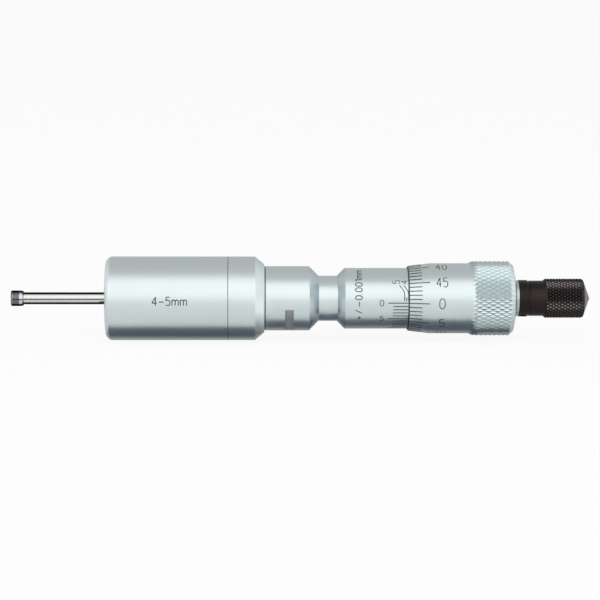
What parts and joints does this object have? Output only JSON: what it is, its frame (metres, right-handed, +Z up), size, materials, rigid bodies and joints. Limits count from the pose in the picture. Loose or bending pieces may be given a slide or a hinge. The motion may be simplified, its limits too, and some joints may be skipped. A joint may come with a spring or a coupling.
{
  "type": "inside micrometer",
  "caption": "Slim two-point bore micrometer: a split probe opened by a needle, a stout grip, a scale sleeve, a knurled thimble with a vernier scale and a knurled ratchet stop.",
  "frame": {"origin": "on the instrument's axis, at the middle of the round grip formed by the front cover and the collar", "axes": "+X along the axis from the probe towards the ratchet stop, +Z up, with the scales facing -Y"},
  "size_m": [0.1483, 0.0214, 0.0214],
  "materials": {
    "satin_chrome": "satin chrome plate with faint turning marks",
    "polished_steel": "ground and polished",
    "dark_carbide": "ground carbide",
    "black_oxide": "black oxide over fine turning marks",
    "hardened_steel": "ground",
    "spring_steel": "drawn wire",
    "bronze": "turned"
  },
  "bodies": {
    "frame": {"front_cover": "satin_chrome", "cover_collar": "satin_chrome", "barrel": "satin_chrome", "probe_holder": "hardened_steel", "jaw_pivot_pins": "hardened_steel", "jaw_closing_spring": "spring_steel", "needle_guide": "bronze", "carrier_guide_pin": "hardened_steel", "scale_sleeve": "satin_chrome", "spindle_nut": "bronze", "adjusting_nut": "hardened_steel", "return_spring": "spring_steel"},
    "plunger": {"taper_needle": "polished_steel", "needle_carrier": "hardened_steel", "needle_set_screw": "black_oxide", "thrust_ball": "polished_steel"},
    "upper_jaw_group": {"upper_jaw": "polished_steel", "upper_contact": "dark_carbide"},
    "lower_jaw_group": {"lower_jaw": "polished_steel", "lower_contact": "dark_carbide"},
    "thimble_group": {"spindle": "hardened_steel", "thimble": "satin_chrome", "ratchet_base": "black_oxide"},
    "ratchet_group": {"ratchet_knob": "black_oxide", "ratchet_disc": "hardened_steel", "ratchet_spring": "spring_steel", "knob_snap_ring": "spring_steel"}
  },
  "joints": [
    {"name": "plunger_feed", "type": "slide", "parent": "frame", "child": "plunger", "axis": [-1, 0, 0], "range_m": [0, 0.001], "deforming": ["return_spring"]},
    {"name": "thimble_turn", "type": "hinge", "parent": "plunger", "child": "thimble_group", "pos_m": [0.06, 0, 0], "axis": [-1, 0, 0], "range_deg": [0, 720]},
    {"name": "upper_jaw_open", "type": "hinge", "parent": "frame", "child": "upper_jaw_group", "pos_m": [-0.0126, 0, 0.0022], "axis": [0, 1, 0], "range_deg": [0, 0.95]},
    {"name": "lower_jaw_open", "type": "hinge", "parent": "frame", "child": "lower_jaw_group", "pos_m": [-0.0126, 0, -0.0022], "axis": [0, -1, 0], "range_deg": [0, 0.95]},
    {"name": "ratchet_slip", "type": "hinge", "parent": "thimble_group", "child": "ratchet_group", "pos_m": [0.09, 0, 0], "axis": [-1, 0, 0], "continuous": true}
  ],
  "couplings": [
    {"joint": "thimble_turn", "follows": "plunger_feed", "rad_per_m": 12566},
    {"joint": "upper_jaw_open", "follows": "plunger_feed", "rad_per_m": 16.527},
    {"joint": "lower_jaw_open", "follows": "plunger_feed", "rad_per_m": 16.527}
  ]
}
